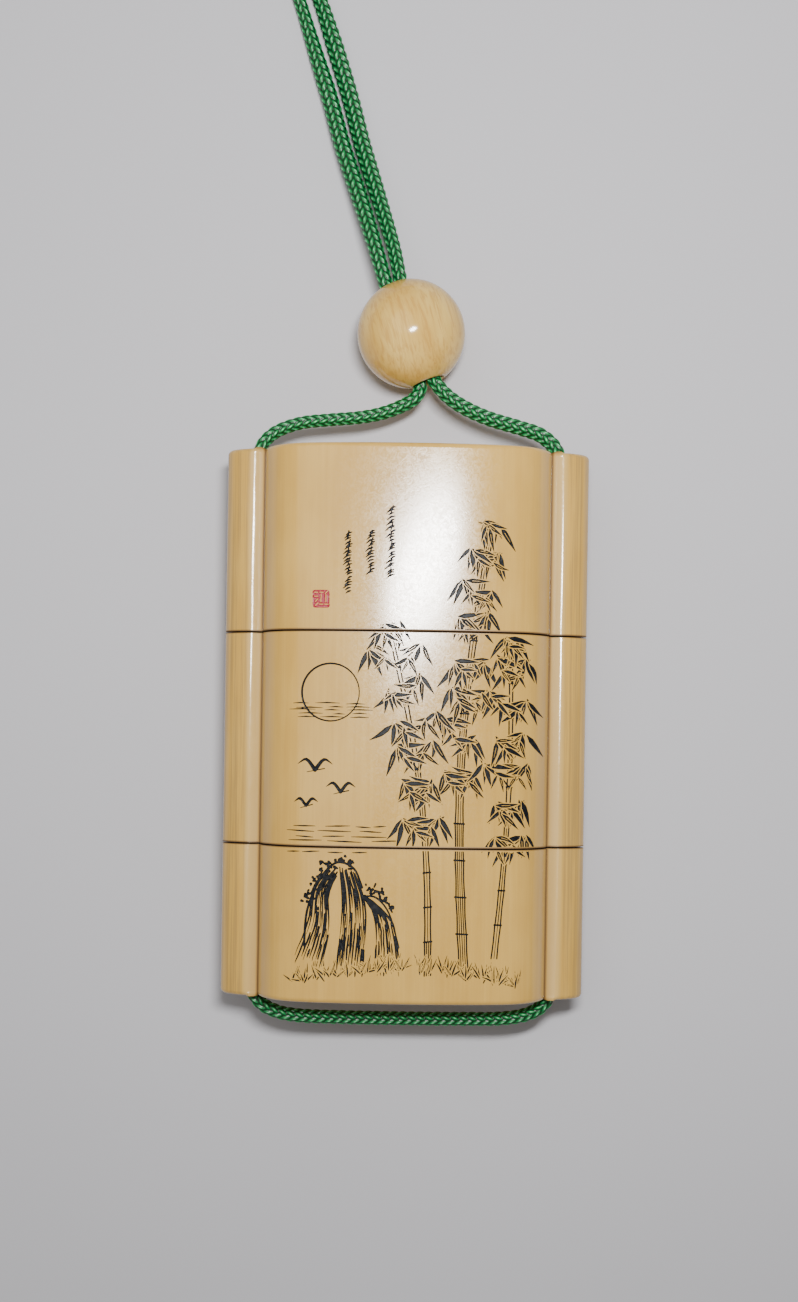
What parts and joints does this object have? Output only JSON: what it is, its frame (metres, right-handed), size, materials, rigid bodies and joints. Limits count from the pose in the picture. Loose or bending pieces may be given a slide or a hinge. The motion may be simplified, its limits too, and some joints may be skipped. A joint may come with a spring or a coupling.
{
  "type": "inro case",
  "caption": "Small polished bone-coloured inro: stacked sections with an inked landscape, a round bead and a green braided cord.",
  "frame": {"origin": "on the flat of the back that the case lies on, at the middle of the case's length and width", "axes": "+Z out of the front of the case, +Y towards the lid and the bead, +X to the right seen from the front"},
  "size_m": [0.052, 0.182, 0.0209],
  "materials": {
    "bone": "polished bone or ivory-like, cream to tan with a fine grain along its length",
    "green_cord": "satin round braid"
  },
  "bodies": {
    "root": {"lid": "bone", "middle_case": "bone", "lower_case": "bone", "ojime_bead": "bone", "cord_lacing": "green_cord", "cord_left": "green_cord", "cord_right": "green_cord", "cord_coil": "green_cord", "cord_knot": "green_cord"}
  },
  "joints": []
}
